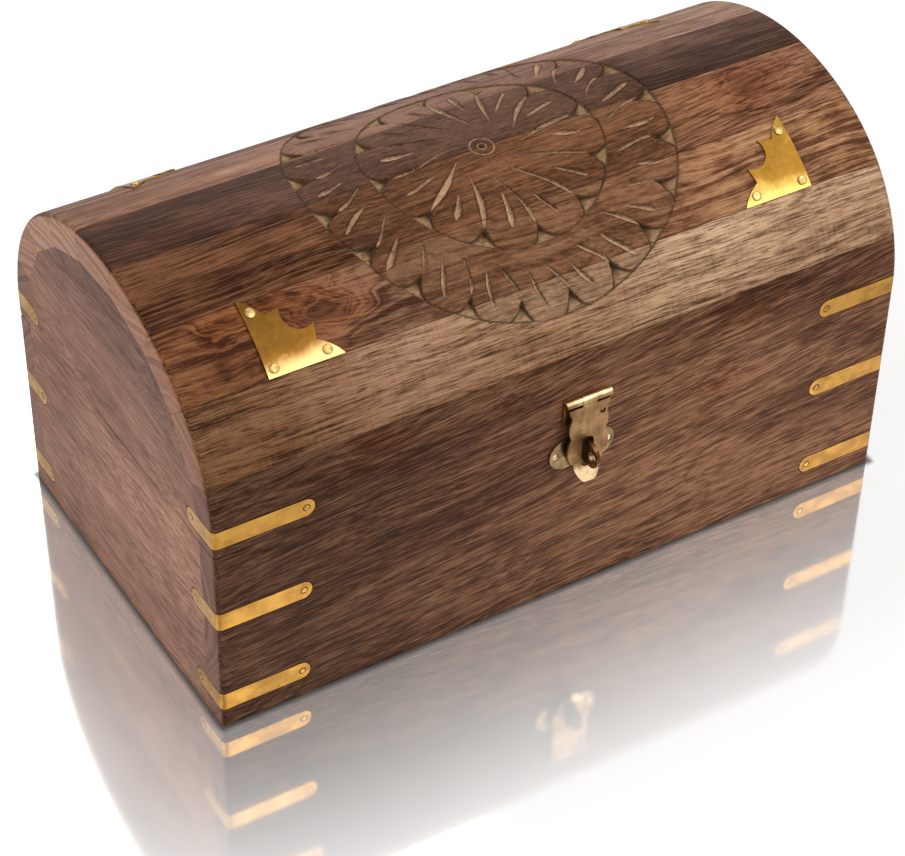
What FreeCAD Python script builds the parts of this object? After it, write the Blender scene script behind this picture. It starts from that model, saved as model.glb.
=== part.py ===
import FreeCAD, Part
import math
import os
from types import SimpleNamespace

import Sketcher

# Domed wooden jewelry box with brass straps, corner brackets, hasp and hidden hinges.
# Millimetres. X runs along the length, Y from front to back, Z up; the origin is the
# middle of the underside.

Vector = FreeCAD.Vector
doc = FreeCAD.newDocument("JewelryBox")

driving = {
    # case of the box
    "box_length": 270.0,
    "box_depth": 148.0,
    "joint_height": 75.5,
    "lid_gap": 0.4,
    "board_thick": 10.0,
    "floor_thick": 6.0,
    # arched lid: a three-centred arch built of staves between two rails
    "spring_rise": 6.1,
    "arch_rise": 66.0,
    "haunch_angle": 60.0,
    "stave_thick": 11.0,
    "rail_arc": 20.0,
    "stave_one": 27.0,
    "stave_two": 26.5,
    "stave_three": 28.0,
    "stave_four": 26.0,
    "stave_five": 24.5,
    "stave_six": 24.0,
    "stave_seven": 26.0,
    # corner straps, let in flush
    "strap_width": 7.0,
    "strap_thick": 1.0,
    "strap_bend": 1.0,
    "strap_front_leg": 33.3,
    "strap_end_leg": 17.7,
    "strap_mid_longer": 1.5,
    "strap_lid_longer": 3.2,
    "strap_slack": 0.35,
    "strap_low_height": 11.2,
    "strap_mid_height": 47.5,
    "strap_lid_rise": 6.9,
    # brass nails
    "nail_radius": 1.35,
    "nail_length": 6.0,
    "nail_proud": 0.2,
    "nail_inset": 3.0,
    # scalloped corner brackets on the dome
    "bracket_leg": 27.2,
    "bracket_thick": 0.6,
    "bracket_from_end": 30.1,
    "bracket_notch_back": 7.5,
    "bracket_notch_width": 6.9,
    "bracket_spike_back": 6.3,
    "bracket_spike_width": 12.5,
    "bracket_scoop_depth": 4.9,
    "bracket_tip_swell": 0.7,
    "bracket_nail_inset": 2.8,
    "bracket_nail_reach": 21.8,
    "bracket_nail_radius": 1.1,
    "bracket_head_radius": 1.7,
    "bracket_head_tall": 0.7,
    # butt hinges let into the rear rims
    "hinge_length": 40.0,
    "hinge_from_end": 55.0,
    "hinge_inset": 2.3,
    "hinge_barrel_radius": 2.2,
    "hinge_pin_radius": 1.1,
    "hinge_leaf_thick": 1.2,
    "hinge_leaf_margin": 0.8,
    "hinge_nail_radius": 0.8,
    "hinge_nail_pitch": 14.0,
    "rim_bevel_angle": 54.0,
    "knuckle_gap": 0.3,
    "pin_slack": 0.05,
    # hasp on the front
    "hasp_place": 4.0,
    "hasp_width": 17.9,
    "hasp_leaf_thick": 0.9,
    "hasp_leaf_tuck": 0.1,
    "hasp_axis_rise": 9.6,
    "hasp_axis_depth": 1.9,
    "hasp_barrel_radius": 1.5,
    "hasp_pin_radius": 0.75,
    "hasp_fixed_drop": 9.4,
    "hasp_shoulder_half": 8.2,
    "hasp_cusp_half": 6.7,
    "hasp_taper_tall": 4.3,
    "hasp_bulge_tall": 8.6,
    "hasp_bulge_swell": 1.1,
    "hasp_lobe_tall": 11.8,
    "hasp_lobe_swell": 2.0,
    "hasp_throat_half": 5.5,
    "hasp_throat_swell": 0.5,
    "hasp_tip_half": 2.9,
    "hasp_tip_round": 1.0,
    "hasp_bend_drop": 28.0,
    "hasp_bend_radius": 3.0,
    "hasp_tab_angle": 25.0,
    "hasp_tab_length": 4.6,
    "hasp_nail_half": 5.2,
    "hasp_nail_drop": 6.3,
    "hasp_peep_radius": 1.15,
    "slot_width": 4.6,
    "slot_height": 13.0,
    # staple that the hasp closes over
    "staple_place": 3.2,
    "staple_drop": 12.0,
    "staple_width": 25.8,
    "staple_tall": 12.3,
    "staple_thick": 1.0,
    "staple_nail_half": 10.65,
    "eye_thick": 1.4,
    "eye_radius": 4.9,
    "eye_reach": 10.2,
    "eye_hole_radius": 2.1,
    "eye_hole_depth": 7.0,
}

sheet = doc.addObject("Spreadsheet::Sheet", "Sizes")
for row, (alias, number) in enumerate(driving.items(), start=1):
    sheet.set(f"A{row}", alias)
    sheet.set(f"B{row}", str(number))
    sheet.setAlias(f"B{row}", alias)
doc.recompute()


class Size:
    """A length or angle: its present value and the expression that gives it."""

    def __init__(self, text, value):
        self.text = text
        self.value = value

    def __add__(self, other):
        other = as_size(other)
        return Size(f"({self.text} + {other.text})", self.value + other.value)

    def __sub__(self, other):
        other = as_size(other)
        return Size(f"({self.text} - {other.text})", self.value - other.value)

    def __mul__(self, other):
        other = as_size(other)
        return Size(f"({self.text} * {other.text})", self.value * other.value)

    def __truediv__(self, other):
        other = as_size(other)
        return Size(f"({self.text} / {other.text})", self.value / other.value)

    def __radd__(self, other):
        return as_size(other) + self

    def __rsub__(self, other):
        return as_size(other) - self

    def __rmul__(self, other):
        return as_size(other) * self

    def __neg__(self):
        return 0 - self


def as_size(number):
    return number if isinstance(number, Size) else Size(f"({float(number):.9g})", float(number))


def sine(angle):
    return Size(f"sin({angle.text})", math.sin(math.radians(angle.value)))


def cosine(angle):
    return Size(f"cos({angle.text})", math.cos(math.radians(angle.value)))


d = SimpleNamespace(**{alias: Size(f"Sizes.{alias}", sheet.get(alias)) for alias in driving})
degree = math.pi / 180
nodes = []


def node(thing, name):
    thing.Label = name
    nodes.append(thing)
    return thing


# Building blocks

def block(name, low, high):
    solid = doc.addObject("Part::Box", name)
    for prop, a, b in zip(("Length", "Width", "Height"), low, high):
        solid.setExpression(prop, (as_size(b) - a).text)
    put(solid, low)
    return solid


turns = {
    "x": FreeCAD.Rotation(Vector(0, 1, 0), 90),
    "y": FreeCAD.Rotation(Vector(1, 0, 0), -90),
    "z": FreeCAD.Rotation(),
}


def rod(name, axis, start, radius, length):
    solid = doc.addObject("Part::Cylinder", name)
    solid.setExpression("Radius", radius.text)
    solid.setExpression("Height", length.text)
    solid.Placement = FreeCAD.Placement(Vector(), turns[axis])
    put(solid, start)
    return solid


def put(solid, corner):
    for letter, size in zip("xyz", corner):
        solid.setExpression(f"Placement.Base.{letter}", as_size(size).text)


def cut(name, base, tools):
    tool = tools[0]
    if len(tools) > 1:
        tool = doc.addObject("Part::MultiFuse", name + "_tools")
        tool.Shapes = tools
    result = doc.addObject("Part::Cut", name + "_cut")
    result.Base = base
    result.Tool = tool
    return result


def fuse(name, pieces):
    result = doc.addObject("Part::MultiFuse", name + "_fuse")
    result.Shapes = pieces
    return result


def group(name, pieces):
    result = doc.addObject("Part::Compound", name + "_group")
    result.Links = pieces
    return result


def common(name, base, tool):
    result = doc.addObject("Part::Common", name + "_common")
    result.Base = base
    result.Tool = tool
    return result


def arc_between(start, end, radius, direction):
    # The shorter arc; direction 1 turns left, -1 turns right.
    chord = end - start
    left = Vector(-chord.y, chord.x, 0).normalize()
    rise = math.sqrt(max(radius ** 2 - (chord.Length / 2) ** 2, 0))
    centre = start + chord * 0.5 + left * rise * direction
    first, last = (start, end) if direction > 0 else (end, start)
    angles = [math.atan2(p.y - centre.y, p.x - centre.x) for p in (first, last)]
    if angles[1] < angles[0]:
        angles[1] += 2 * math.pi
    circle = Part.Circle(centre, Vector(0, 0, 1), radius)
    return Part.ArcOfCircle(circle, angles[0], angles[1])


def draw(sketch, corners):
    # A corner is (u, v), reached by a straight line, or (u, v, radius, direction), by an arc.
    points = [Vector(as_size(c[0]).value, as_size(c[1]).value, 0) for c in corners]
    ends = []
    for i, corner in enumerate(corners):
        start, end = points[i - 1], points[i]
        if len(corner) == 2:
            sketch.addGeometry(Part.LineSegment(start, end))
            ends.append((1, 2))
        else:
            radius, direction = corner[2], corner[3]
            sketch.addGeometry(arc_between(start, end, radius.value, direction))
            ends.append((1, 2) if direction > 0 else (2, 1))
    count = len(corners)
    for i, corner in enumerate(corners):
        after = (i + 1) % count
        sketch.addConstraint(Sketcher.Constraint("Coincident", i, ends[i][1], after, ends[after][0]))
        for kind, size in (("DistanceX", corner[0]), ("DistanceY", corner[1])):
            size = as_size(size)
            at = sketch.addConstraint(Sketcher.Constraint(kind, -1, 1, i, ends[i][1], size.value))
            sketch.setExpression(f"Constraints[{at}]", size.text)
        if len(corner) == 4:
            at = sketch.addConstraint(Sketcher.Constraint("Radius", i, corner[2].value))
            sketch.setExpression(f"Constraints[{at}]", corner[2].text)


def profile(name, plane, corners, start, end):
    # A sketched outline on an origin plane, padded from start to end along the plane's axis.
    body = doc.addObject("PartDesign::Body", name + "_body")
    sketch = body.newObject("Sketcher::SketchObject", name + "_outline")
    support = next(f for f in body.Origin.OriginFeatures if f.Role == plane)
    sketch.AttachmentSupport = [(support, "")]
    sketch.MapMode = "FlatFace"
    if plane == "XZ_Plane":
        start, end = -as_size(end), -as_size(start)
    sketch.setExpression("AttachmentOffset.Base.z", as_size(start).text)
    draw(sketch, corners)
    pad = body.newObject("PartDesign::Pad", name + "_pad")
    pad.Profile = sketch
    pad.setExpression("Length", (as_size(end) - start).text)
    return body


def round_edges(body, wanted, radius):
    doc.recompute()
    base = body.Tip
    names = [f"Edge{i}" for i, edge in enumerate(base.Shape.Edges, start=1) if wanted(edge)]
    fillet = body.newObject("PartDesign::Fillet", body.Name + "_round")
    fillet.Base = (base, names)
    fillet.setExpression("Radius", radius.text)
    return body


def stadium(u, v, half_u, half_v):
    # A slot outline with round ends, along whichever way is longer.
    if half_u.value > half_v.value:
        r, run = half_v, half_u - half_v
        return [
            (u + run, v - r), (u + half_u, v, r, 1), (u + run, v + r, r, 1),
            (u - run, v + r), (u - half_u, v, r, 1), (u - run, v - r, r, 1),
        ]
    r, run = half_u, half_v - half_u
    return [
        (u + r, v + run), (u, v + half_v, r, 1), (u - r, v + run, r, 1),
        (u - r, v - run), (u, v - half_v, r, 1), (u + r, v - run, r, 1),
    ]


def scalloped(points, outward):
    # Corners joined by straight lines or shallow arcs. A third number is how far the arc swells
    # out of the chord, or bites in where it is negative; outward is the turn that swells out.
    corners = []
    for i, point in enumerate(points):
        if len(point) == 3:
            u, v, swell = point
            run, rise = u - points[i - 1][0], v - points[i - 1][1]
            depth = swell if swell.value > 0 else -swell
            radius = ((run * run + rise * rise) / 4 + depth * depth) / (depth * 2)
            corners.append((u, v, radius, outward if swell.value > 0 else -outward))
        else:
            corners.append(point)
    return corners


# Sizes that follow from the driving ones

half_length = d.box_length / 2
half_depth = d.box_depth / 2
inner_length = half_length - d.board_thick
inner_depth = half_depth - d.board_thick
lid_base = d.joint_height + d.lid_gap
spring_height = lid_base + d.spring_rise
hasp_axis_height = lid_base + d.hasp_axis_rise
staple_height = d.joint_height - d.staple_drop
corner_round = d.strap_bend + d.strap_thick

arch_spread = (half_depth - d.arch_rise) / (sine(d.haunch_angle) + cosine(d.haunch_angle) - 1)
haunch_radius = half_depth - arch_spread * cosine(d.haunch_angle)
crown_radius = d.arch_rise + arch_spread * sine(d.haunch_angle)
haunch_out = half_depth - haunch_radius
crown_centre = spring_height + d.arch_rise - crown_radius
haunch_arc = haunch_radius * d.haunch_angle * degree
crown_arc = crown_radius * (90 - d.haunch_angle) * degree * 2
arch_length = haunch_arc * 2 + crown_arc

stave_widths = [d.stave_one, d.stave_two, d.stave_three, d.stave_four, d.stave_five,
                d.stave_six, d.stave_seven]
stave_fit = (arch_length - d.rail_arc * 2) / sum(stave_widths, as_size(0))
seams = [d.rail_arc]
for width in stave_widths:
    seams.append(seams[-1] + width * stave_fit)

hinge_axis_depth = half_depth - d.hinge_inset
hinge_axis_height = d.joint_height + d.lid_gap / 2
rim_bevel_drop = d.hinge_inset * sine(d.rim_bevel_angle) / cosine(d.rim_bevel_angle)


def arch_turn(along):
    # Which of the three arcs a point lies on, and the arc's angle there from the horizontal.
    if along.value <= haunch_arc.value:
        return "front", along / (haunch_radius * degree)
    if along.value < (haunch_arc + crown_arc).value:
        return "crown", d.haunch_angle + (along - haunch_arc) / (crown_radius * degree)
    return "back", 180 - (arch_length - along) / (haunch_radius * degree)


def arch_point(along, inset):
    # A point at a distance along the arch from the front spring, a given depth under its face.
    arc, angle = arch_turn(along)
    radius = (crown_radius if arc == "crown" else haunch_radius) - inset
    out = {"front": -haunch_out, "crown": as_size(0), "back": haunch_out}[arc]
    up = crown_centre if arc == "crown" else spring_height
    return out - radius * cosine(angle), up + radius * sine(angle)


def arch_path(first, last, inset):
    # Corners from one place on the arch to another, front to back, as tangent arcs.
    stops = [s for s in (haunch_arc, haunch_arc + crown_arc) if first.value < s.value < last.value]
    corners = [arch_point(first, inset)]
    for start, stop in zip([first] + stops, stops + [last]):
        arc, angle = arch_turn((start + stop) / 2)
        radius = (crown_radius if arc == "crown" else haunch_radius) - inset
        corners.append((*arch_point(stop, inset), radius, -1))
    return corners


def back_along(corners):
    # The same corners walked the other way.
    plain = [(c[0], c[1]) for c in corners]
    turned = [plain[-1]]
    for i in range(len(corners) - 1, 0, -1):
        bend = (corners[i][2], -corners[i][3]) if len(corners[i]) == 4 else ()
        turned.append((*plain[i - 1], *bend))
    return turned


def mirrored(corners):
    # The outline on the other side of the vertical axis.
    return [(-as_size(c[0]), *c[1:2], *((c[2], -c[3]) if len(c) == 4 else ())) for c in corners]


def on_outer_end(edge):
    # An edge of a long board's outer face, at either end of the board.
    for p in [v.Point for v in edge.Vertexes] + [edge.CenterOfMass]:
        if abs(abs(p.x) - half_length.value) > 0.001:
            return False
    middle = edge.valueAt((edge.FirstParameter + edge.LastParameter) / 2)
    if middle.z <= spring_height.value:
        return abs(abs(middle.y) - half_depth.value) < 0.001
    for out, up, radius in ((-haunch_out, spring_height, haunch_radius),
                            (haunch_out, spring_height, haunch_radius),
                            (as_size(0), crown_centre, crown_radius)):
        if abs(math.hypot(middle.y - out.value, middle.z - up.value) - radius.value) < 0.001:
            return True
    return False


def long_board(name, corners):
    body = profile(name, "YZ_Plane", corners, -half_length, half_length)
    return round_edges(body, on_outer_end, corner_round)


# Brass straps: an L of flat strip bent round a corner, with round ends and a nail in each leg

def strap(name, side_x, side_y, height, front_leg, slack, outset):
    x_out, y_out = half_length + outset, half_depth + outset
    x_in, y_in = half_length - d.strap_thick, half_depth - d.strap_thick
    x_end = half_length - front_leg - slack
    y_end = half_depth - d.strap_end_leg - slack
    bend, outer = d.strap_bend, corner_round + outset
    way = side_x * side_y
    quarter = [
        (x_end, y_in), (x_in - bend, y_in), (x_in, y_in - bend, bend, -way), (x_in, y_end),
        (x_out, y_end), (x_out, y_out - outer), (x_out - outer, y_out, outer, way), (x_end, y_out),
    ]
    corners = [(side_x * c[0], side_y * c[1], *c[2:]) for c in quarter]
    half = d.strap_width / 2 + slack
    body = profile(name, "XY_Plane", corners, height - half, height + half)

    def leg_end(edge):
        if edge.Curve.TypeId != "Part::GeomLine":
            return False
        middle = edge.CenterOfMass
        run = edge.Vertexes[1].Point - edge.Vertexes[0].Point
        at_front = abs(abs(middle.x) - x_end.value) < 0.001 and abs(run.y) > 0.001
        at_side = abs(abs(middle.y) - y_end.value) < 0.001 and abs(run.x) > 0.001
        return at_front or at_side

    return round_edges(body, leg_end, half * 0.98)


def face_nail(name, axis, side, face, first, second):
    # A nail driven square into a flat face, its head a little proud.
    whole = d.nail_length + d.nail_proud
    low = face - d.nail_length if side > 0 else -face - d.nail_proud
    start = (low, first, second) if axis == "x" else (first, low, second)
    return rod(name, axis, start, d.nail_radius, whole)


sides = {"left": -1, "right": 1}
faces = {"front": -1, "back": 1}
strap_rows = {"base_strap_low": d.strap_low_height, "base_strap_mid": d.strap_mid_height,
              "lid_strap": lid_base + d.strap_lid_rise}
# At the front left the upper straps were cut longer than the others
longer_straps = {"base_strap_mid_front_left": d.strap_mid_longer, "lid_strap_front_left": d.strap_lid_longer}
strap_outset = as_size(1)
nails = {"base": [], "lid": []}
recesses = {"base": {}, "lid": {}}
for row_name, height in strap_rows.items():
    part_of = row_name.split("_")[0]
    for face_name, side_y in faces.items():
        for side_name, side_x in sides.items():
            name = f"{row_name}_{face_name}_{side_name}"
            corner = (face_name, side_name)
            front_leg = d.strap_front_leg + longer_straps.get(name, 0)
            recess = strap(name + "_recess", side_x, side_y, height, front_leg, d.strap_slack, strap_outset)
            x_nail = side_x * (half_length - front_leg + d.nail_inset)
            y_nail = side_y * (half_depth - d.strap_end_leg + d.nail_inset)
            pair = [
                face_nail(name + "_face_nail", "y", side_y, half_depth, x_nail, height),
                face_nail(name + "_end_nail", "x", side_x, half_length, y_nail, height),
            ]
            nails[part_of] += pair
            recesses[part_of].setdefault(corner, []).extend([recess] + pair)
            strip = strap(name + "_strip", side_x, side_y, height, front_leg, as_size(0), as_size(0))
            node(cut(name, strip, pair), name)

node(group("base_strap_nails", nails["base"]), "base_strap_nails")
node(group("lid_strap_nails", nails["lid"]), "lid_strap_nails")


def corner_tools(part_of, face_name=None, side_name=None):
    # What the straps and their nails take out of a board at its corners.
    tools = []
    for (face, side), cutters in recesses[part_of].items():
        if face_name in (None, face) and side_name in (None, side):
            tools += cutters
    return tools


# Rear hinges: leaves let into the two rims, three knuckles on a pin

third = d.hinge_length / 3
knuckle_ends = [-d.hinge_length / 2, -d.hinge_length / 2 + third, d.hinge_length / 2 - third]
hinge_clear = d.hinge_barrel_radius + d.knuckle_gap
hinge_front = inner_depth + d.hinge_leaf_margin


def hinge_rod(name, centre, start, length, radius):
    return rod(name, "x", (centre + start, hinge_axis_depth, hinge_axis_height), radius, length)


def hinge_leaf(name, centre, low, high, own, other):
    half = d.hinge_length / 2
    pieces = [block(name + "_plate", (centre - half, hinge_front, low),
                    (centre + half, hinge_axis_depth, high))]
    reliefs = [hinge_rod(name + "_bore", centre, -half, d.hinge_length, d.hinge_pin_radius + d.pin_slack)]
    for i in own:
        start = knuckle_ends[i] + d.knuckle_gap / 2
        length = third - d.knuckle_gap
        pieces.append(hinge_rod(f"{name}_knuckle_{i}", centre, start, length, d.hinge_barrel_radius))
    for i in other:
        start = knuckle_ends[i] - d.knuckle_gap / 2
        length = third + d.knuckle_gap
        reliefs.append(hinge_rod(f"{name}_relief_{i}", centre, start, length, hinge_clear))
    return cut(name, fuse(name, pieces), reliefs)


hinge_sets = {"base": [], "lid": []}
hinge_pockets = {"base": [], "lid": []}
for side_name, side_x in sides.items():
    centre = side_x * (half_length - d.hinge_from_end)
    rims = {
        "base": (d.joint_height - d.hinge_leaf_thick, d.joint_height, (0, 2), (1,)),
        "lid": (lid_base, lid_base + d.hinge_leaf_thick, (1,), (0, 2)),
    }
    for part_of, (low, high, own, other) in rims.items():
        name = f"{part_of}_hinge_leaf_{side_name}"
        spots = [centre + d.hinge_nail_pitch * i for i in (-1, 0, 1)]
        nail_y = (hinge_front + hinge_axis_depth - d.hinge_barrel_radius) / 2
        foot = d.joint_height - d.nail_length if part_of == "base" else lid_base
        pins = [rod(f"{name}_nail_{i}", "z", (x, nail_y, foot), d.hinge_nail_radius, d.nail_length)
                for i, x in enumerate(spots)]
        hinge_sets[part_of] += pins
        node(cut(name + "_holed", hinge_leaf(name, centre, low, high, own, other), pins), name)
        half = d.hinge_length / 2 + d.knuckle_gap
        top = high if part_of == "lid" else d.joint_height + d.lid_gap / 2
        bottom = low if part_of == "base" else lid_base - d.lid_gap / 2
        mortise = block(name + "_mortise", (centre - half, hinge_front, bottom),
                        (centre + half, hinge_axis_depth, top))
        room = hinge_rod(name + "_room", centre, -half, half * 2, hinge_clear)
        hinge_pockets[part_of] += [mortise, room] + pins
    pin_name = f"hinge_pin_{side_name}"
    pin = hinge_rod(pin_name + "_rod", centre, -d.hinge_length / 2, d.hinge_length, d.hinge_pin_radius)
    node(pin, pin_name)

node(group("base_hinge_nails", hinge_sets["base"]), "base_hinge_nails")
node(group("lid_hinge_nails", hinge_sets["lid"]), "lid_hinge_nails")

# Staple: an oval plate nailed to the front board, with a pierced eye standing out of it

staple_face = half_depth + d.staple_thick
staple_pins = [face_nail(f"staple_pin_{i}", "y", -1, staple_face, d.staple_place + s * d.staple_nail_half,
                         staple_height) for i, s in enumerate((-1, 1))]
plate = profile("staple_plate_sheet", "XZ_Plane",
                stadium(d.staple_place, staple_height, d.staple_width / 2, d.staple_tall / 2),
                -staple_face, -half_depth)
node(cut("staple_plate", plate, staple_pins), "staple_plate")
node(group("staple_nails", staple_pins), "staple_nails")

nose = half_depth + d.eye_reach - d.eye_radius
eye_low, eye_high = staple_height - d.eye_radius, staple_height + d.eye_radius
eye_corners = [
    (-staple_face, eye_high), (-nose, eye_high),
    (-nose - d.eye_radius, staple_height, d.eye_radius, 1), (-nose, eye_low, d.eye_radius, 1),
    (-staple_face, eye_low),
]
eye = profile("staple_eye_blank", "YZ_Plane", eye_corners,
              d.hasp_place - d.eye_thick / 2, d.hasp_place + d.eye_thick / 2)
eye_hole = rod("staple_eye_hole", "x",
               (d.hasp_place - d.eye_thick, -half_depth - d.eye_hole_depth, staple_height),
               d.eye_hole_radius, d.eye_thick * 2)
node(cut("staple_eye", eye, [eye_hole]), "staple_eye")

# Hasp: a fixed leaf on the lid, a pin and a swinging leaf with a scalloped outline

hasp_axis_out = -half_depth - d.hasp_axis_depth
hasp_third = d.hasp_width / 3
hasp_left = d.hasp_place - d.hasp_width / 2


def hasp_rod(name, start, length, radius):
    return rod(name, "x", (hasp_left + start, hasp_axis_out, hasp_axis_height), radius, length)


hasp_bore = d.hasp_pin_radius + d.pin_slack
hasp_clear = d.hasp_barrel_radius + d.knuckle_gap
hasp_foot = hasp_axis_height - d.hasp_fixed_drop
fixed_pieces = [block("hasp_fixed_plate", (hasp_left, -half_depth - d.hasp_leaf_thick, hasp_foot),
                      (hasp_left + d.hasp_width, -half_depth, hasp_axis_height))]
for i in (0, 2):
    start = hasp_third * i
    fixed_pieces.append(hasp_rod(f"hasp_fixed_knuckle_{i}", start, hasp_third, d.hasp_barrel_radius))
hasp_nail_height = hasp_axis_height - d.hasp_nail_drop
hasp_pins = [face_nail(f"hasp_nail_{i}", "y", -1, half_depth + d.hasp_leaf_thick,
                       d.hasp_place + s * d.hasp_nail_half, hasp_nail_height) for i, s in enumerate((-1, 1))]
fixed_tools = [
    hasp_rod("hasp_fixed_bore", as_size(0), d.hasp_width, hasp_bore),
    hasp_rod("hasp_fixed_relief", hasp_third, hasp_third, hasp_clear),
] + hasp_pins
node(cut("hasp_fixed_leaf", fuse("hasp_fixed_leaf", fixed_pieces), fixed_tools), "hasp_fixed_leaf")
node(group("hasp_nails", hasp_pins), "hasp_nails")
node(hasp_rod("hasp_pin_rod", as_size(0), d.hasp_width, d.hasp_pin_radius), "hasp_pin")

leaf_front = hasp_axis_out - d.hasp_barrel_radius + d.hasp_leaf_tuck
leaf_back = leaf_front + d.hasp_leaf_thick
bend_height = hasp_axis_height - d.hasp_bend_drop
bend_out = leaf_front - d.hasp_bend_radius
bend_outer = d.hasp_bend_radius + d.hasp_leaf_thick
tab_sine, tab_cosine = sine(d.hasp_tab_angle), cosine(d.hasp_tab_angle)
front_turn = (bend_out + d.hasp_bend_radius * tab_cosine, bend_height - d.hasp_bend_radius * tab_sine)
back_turn = (bend_out + bend_outer * tab_cosine, bend_height - bend_outer * tab_sine)
tab_run = (d.hasp_tab_length * tab_sine, d.hasp_tab_length * tab_cosine)
bent_strip = [
    (leaf_front, hasp_axis_height), (leaf_front, bend_height),
    (*front_turn, d.hasp_bend_radius, -1), (front_turn[0] - tab_run[0], front_turn[1] - tab_run[1]),
    (back_turn[0] - tab_run[0], back_turn[1] - tab_run[1]), back_turn,
    (leaf_back, bend_height, bend_outer, 1), (leaf_back, hasp_axis_height),
]
strip_half = d.hasp_shoulder_half + d.hasp_lobe_swell
bent_sheet = profile("hasp_swing_sheet", "YZ_Plane", bent_strip, d.hasp_place - strip_half,
                     d.hasp_place + strip_half)

# Right half of the leaf's outline, from the knuckle down to the tip, heights below the axis
knuckle_half = hasp_third / 2 - d.knuckle_gap / 2
taper_end = hasp_clear + d.hasp_taper_tall
bulge_end = taper_end + d.hasp_bulge_tall
lobe_end = bulge_end + d.hasp_lobe_tall
tip_start = hasp_axis_height - (back_turn[1] - tab_run[1]) - d.hasp_tip_round
*right_side, tip_arc = scalloped([
    (knuckle_half, as_size(0)), (knuckle_half, hasp_clear), (d.hasp_shoulder_half, hasp_clear),
    (d.hasp_cusp_half, taper_end),
    (d.hasp_cusp_half, bulge_end, d.hasp_bulge_swell),
    (d.hasp_throat_half, lobe_end, d.hasp_lobe_swell),
    (d.hasp_tip_half, tip_start, d.hasp_throat_swell),
    (-d.hasp_tip_half, tip_start, d.hasp_tip_round),
], -1)


def below_axis(corner):
    return (d.hasp_place + corner[0], hasp_axis_height - corner[1], *corner[2:])


left_side = mirrored(back_along(right_side))[1:]
leaf_outline = profile("hasp_swing_outline", "XZ_Plane",
                       [below_axis(c) for c in right_side + [tip_arc] + left_side],
                       leaf_front - d.eye_reach, leaf_back + d.hasp_leaf_thick)
swing_slot = profile("hasp_swing_slot", "XZ_Plane",
                     stadium(d.hasp_place, staple_height, d.slot_width / 2, d.slot_height / 2),
                     leaf_front - d.eye_reach, leaf_back + d.hasp_leaf_thick)
swing_knuckle = hasp_rod("hasp_swing_knuckle", hasp_third + d.knuckle_gap / 2, hasp_third - d.knuckle_gap,
                         d.hasp_barrel_radius)
swing_blank = fuse("hasp_swing_blank", [common("hasp_swing_sheet", bent_sheet, leaf_outline), swing_knuckle])
swing_bore = hasp_rod("hasp_swing_bore", as_size(0), d.hasp_width, hasp_bore)
# A round hole over the right-hand nail of the fixed leaf
swing_peep = rod("hasp_swing_peep", "y",
                 (d.hasp_place + d.hasp_nail_half, leaf_front - d.hasp_leaf_thick, hasp_nail_height),
                 d.hasp_peep_radius, d.hasp_leaf_thick * 3)
node(cut("hasp_swing_leaf", swing_blank, [swing_slot, swing_bore, swing_peep]), "hasp_swing_leaf")

# Base of the box: front and back boards lap the ends, the floor sits inside them

front_section = [(-half_depth, as_size(0)), (-inner_depth, as_size(0)),
                 (-inner_depth, d.joint_height), (-half_depth, d.joint_height)]
back_section = [(inner_depth, as_size(0)), (half_depth, as_size(0)),
                (half_depth, d.joint_height - rim_bevel_drop), (hinge_axis_depth, d.joint_height),
                (inner_depth, d.joint_height)]
node(cut("base_front_board", long_board("base_front_stock", front_section),
         corner_tools("base", face_name="front") + staple_pins), "base_front_board")
node(cut("base_back_board", long_board("base_back_stock", back_section),
         corner_tools("base", face_name="back") + hinge_pockets["base"]), "base_back_board")
for side_name, side_x in sides.items():
    low_x, high_x = sorted((side_x * inner_length, side_x * half_length), key=lambda size: size.value)
    stock = block(f"base_{side_name}_stock", (low_x, -inner_depth, as_size(0)),
                  (high_x, inner_depth, d.joint_height))
    name = f"base_{side_name}_end"
    node(cut(name, stock, corner_tools("base", side_name=side_name)), name)
node(block("base_floor_stock", (-inner_length, -inner_depth, as_size(0)),
           (inner_length, inner_depth, d.floor_thick)), "base_floor_panel")

# Lid: rails at the front and back, seven staves between them over two arched ends

rail_path = arch_path(as_size(0), d.rail_arc, as_size(0))
rail_inner = arch_point(d.rail_arc, d.stave_thick)
front_rail = [(-half_depth, lid_base), (-half_depth, spring_height)] + rail_path[1:] + [
    rail_inner, (-inner_depth, spring_height), (-inner_depth, lid_base)]
plain_back = mirrored(front_rail)
back_rail = [(half_depth, lid_base + rim_bevel_drop)] + plain_back[1:] + [(hinge_axis_depth, lid_base)]
node(cut("lid_front_rail", long_board("lid_front_stock", front_rail),
         corner_tools("lid", face_name="front") + hasp_pins), "lid_front_rail")
node(cut("lid_back_rail", long_board("lid_back_stock", back_rail),
         corner_tools("lid", face_name="back") + hinge_pockets["lid"]), "lid_back_rail")

end_section = [(-inner_depth, lid_base), (inner_depth, lid_base), (inner_depth, spring_height)]
end_section += [arch_point(s, d.stave_thick) for s in reversed(seams)]
end_section += [(-inner_depth, spring_height)]
for side_name, side_x in sides.items():
    low_x, high_x = sorted((side_x * inner_length, side_x * half_length), key=lambda size: size.value)
    stock = profile(f"lid_{side_name}_stock", "YZ_Plane", end_section, low_x, high_x)
    name = f"lid_{side_name}_end"
    node(cut(name, stock, corner_tools("lid", side_name=side_name)), name)

staves = []
for i in range(len(stave_widths)):
    section = arch_path(seams[i], seams[i + 1], as_size(0))
    section += [arch_point(seams[i + 1], d.stave_thick), arch_point(seams[i], d.stave_thick)]
    staves.append(long_board(f"lid_stave_{i + 1}_stock", section))

# Brackets on the dome: thin sheet that follows the arch, cut to a scalloped corner outline

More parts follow.
